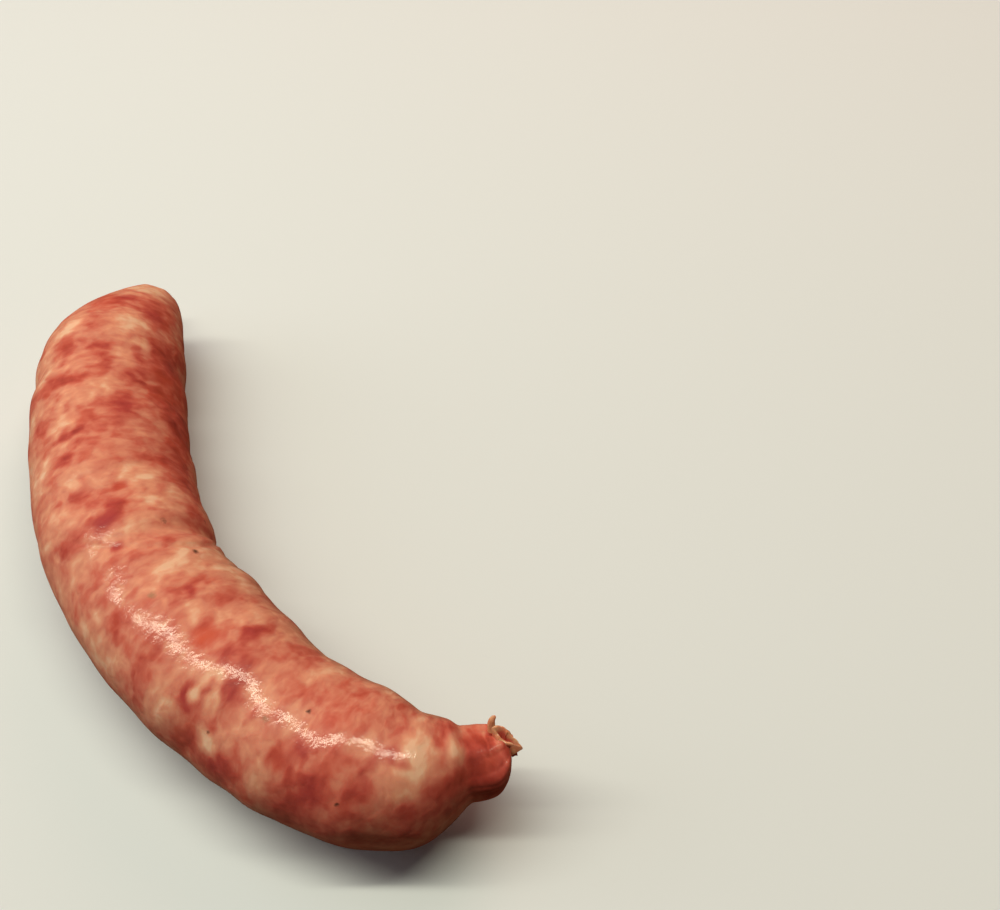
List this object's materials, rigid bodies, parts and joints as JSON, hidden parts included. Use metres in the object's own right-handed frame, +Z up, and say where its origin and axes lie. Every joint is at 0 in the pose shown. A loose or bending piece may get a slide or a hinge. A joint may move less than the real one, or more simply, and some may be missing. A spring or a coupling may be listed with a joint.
{
  "type": "raw sausage link",
  "caption": "Raw coarse-ground pork sausage in a natural casing, bent in a crescent, with a pinched neck and a twisted tail of casing at each end; it lies on its side.",
  "frame": {"origin": "on the surface the link lies on, under the middle of its bounding box", "axes": "+X along the chord of the crescent, from the blunt end to the pinched neck; +Z up; the back of the bend is towards -Y and its ends turn towards +Y"},
  "size_m": [0.1554, 0.0548, 0.0286],
  "materials": {
    "meat_in_casing": "glossy moist casing over mottled lean and fat"
  },
  "bodies": {
    "root": {"sausage_link": "meat_in_casing"}
  },
  "joints": []
}
